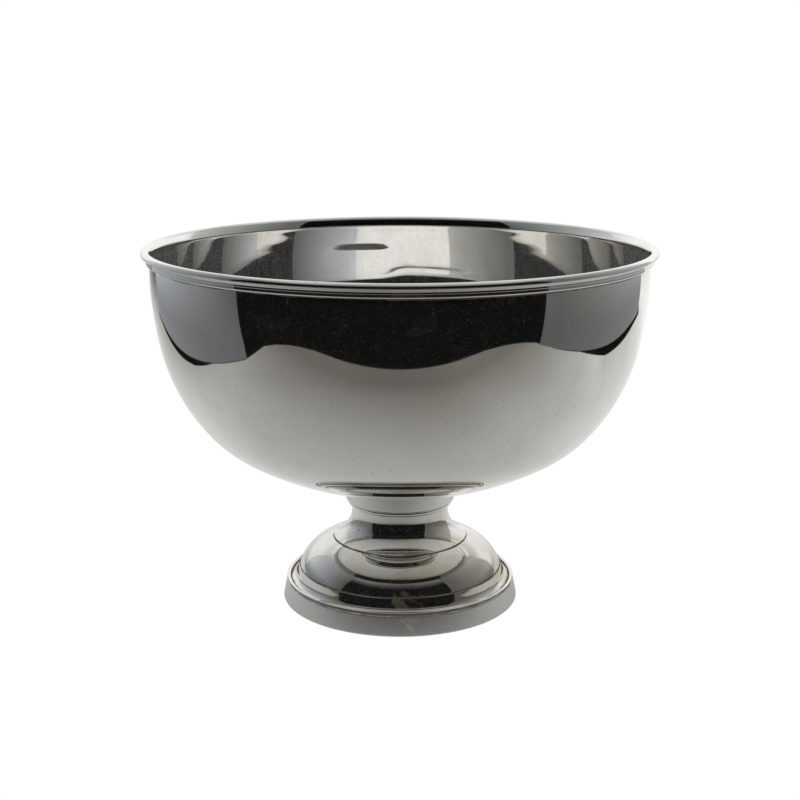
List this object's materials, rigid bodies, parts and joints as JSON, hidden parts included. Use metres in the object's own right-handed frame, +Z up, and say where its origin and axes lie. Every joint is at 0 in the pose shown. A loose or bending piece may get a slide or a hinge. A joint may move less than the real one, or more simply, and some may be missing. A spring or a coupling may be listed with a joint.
{
  "type": "punch bowl",
  "caption": "Round footed punch bowl in silver-plated metal: deep spun bowl with a flared moulded rim on a short neck and a stepped dome foot.",
  "frame": {"origin": "centre of the foot's resting plane, on the bowl's axis", "axes": "+Z up along the axis of revolution, out of the mouth; X and Y horizontal, equivalent by symmetry"},
  "size_m": [0.3811, 0.3812, 0.2751],
  "materials": {
    "silver_bowl": "mirror-polished silver plate with fine scratches and light tarnish",
    "silver_mount": "polished silver plate, dark in the creases",
    "silver_foot": "polished silver plate with small dents and brownish tarnish",
    "silver_band": "worn silver plate, slightly dull",
    "brass": "turned, unplated",
    "zinc_steel": "zinc plated"
  },
  "bodies": {
    "root": {"bowl": "silver_bowl", "rim_moulding": "silver_mount", "boss_plate": "brass", "stud": "zinc_steel", "knop": "silver_foot", "knop_bead": "silver_mount", "neck": "silver_foot", "dome": "silver_foot", "foot_flange": "silver_foot", "foot_bead": "silver_mount", "base_band": "silver_band", "clamp_disc": "zinc_steel", "flat_washer": "zinc_steel", "lock_washer": "zinc_steel", "nut": "zinc_steel"}
  },
  "joints": []
}
